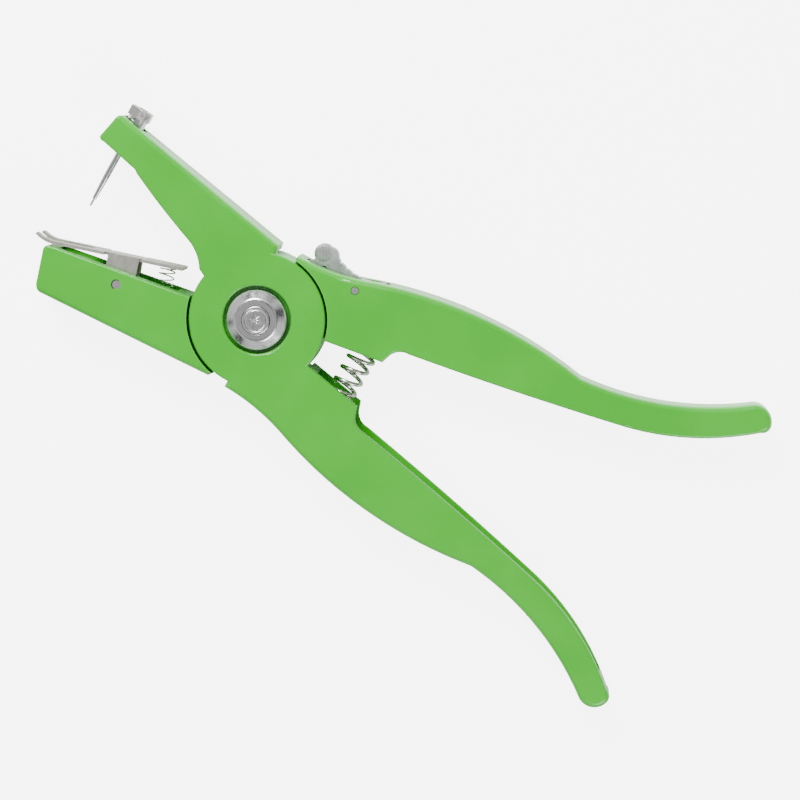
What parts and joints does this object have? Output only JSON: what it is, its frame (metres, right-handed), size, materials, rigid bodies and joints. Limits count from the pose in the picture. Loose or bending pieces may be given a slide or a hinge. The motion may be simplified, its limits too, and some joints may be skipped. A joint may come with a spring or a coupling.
{
  "type": "ear tag applicator",
  "caption": "Hand pliers that press a livestock ear tag together: crossed cast levers, needle jaw, spring tag clip and lock latch.",
  "frame": {"origin": "on the main pivot axis, in the plane of the back faces that the tool rests on", "axes": "+X from the pivot to the handles along the centre line, +Y to the upper jaw's side, +Z along the pivot axis out of the front face"},
  "size_m": [0.2565, 0.1228, 0.0232],
  "materials": {
    "green_casting": "gloss",
    "bright_steel": "polished",
    "plain_steel": "satin",
    "nickel_sheet": "satin",
    "spring_wire": "polished",
    "cast_latch": "satin"
  },
  "bodies": {
    "lower_lever": {"lower_jaw_lever": "green_casting", "pivot_rivet": "bright_steel", "pivot_bush": "plain_steel", "pivot_washer_front": "bright_steel", "pivot_washer_rear": "bright_steel", "clip_pin": "plain_steel", "clip_spring": "spring_wire", "latch_pin": "plain_steel", "latch_spring": "spring_wire", "return_spring": "spring_wire"},
    "upper_lever": {"upper_jaw_lever": "green_casting", "applicator_pin": "plain_steel", "pin_screw": "bright_steel"},
    "clip": {"tag_clip": "nickel_sheet"},
    "latch": {"lock_latch": "cast_latch"}
  },
  "joints": [
    {"name": "lever_pivot", "type": "hinge", "parent": "lower_lever", "child": "upper_lever", "pos_m": [0, 0, 0.01], "axis": [0, 0, 1], "range_deg": [0, 20], "stiffness_Nm_per_rad": 7, "deforming": ["return_spring"]},
    {"name": "clip_hinge", "type": "hinge", "parent": "lower_lever", "child": "clip", "pos_m": [-0.0488, -0.014, 0.01], "axis": [0, 0, 1], "range_deg": [-12, 0], "stiffness_Nm_per_rad": 0.25, "deforming": ["clip_spring"]},
    {"name": "latch_hinge", "type": "hinge", "parent": "lower_lever", "child": "latch", "pos_m": [0.0248, 0.026, 0.0102], "axis": [0, 0, 1], "range_deg": [0, 10], "stiffness_Nm_per_rad": 0.03, "deforming": ["latch_spring"]}
  ]
}
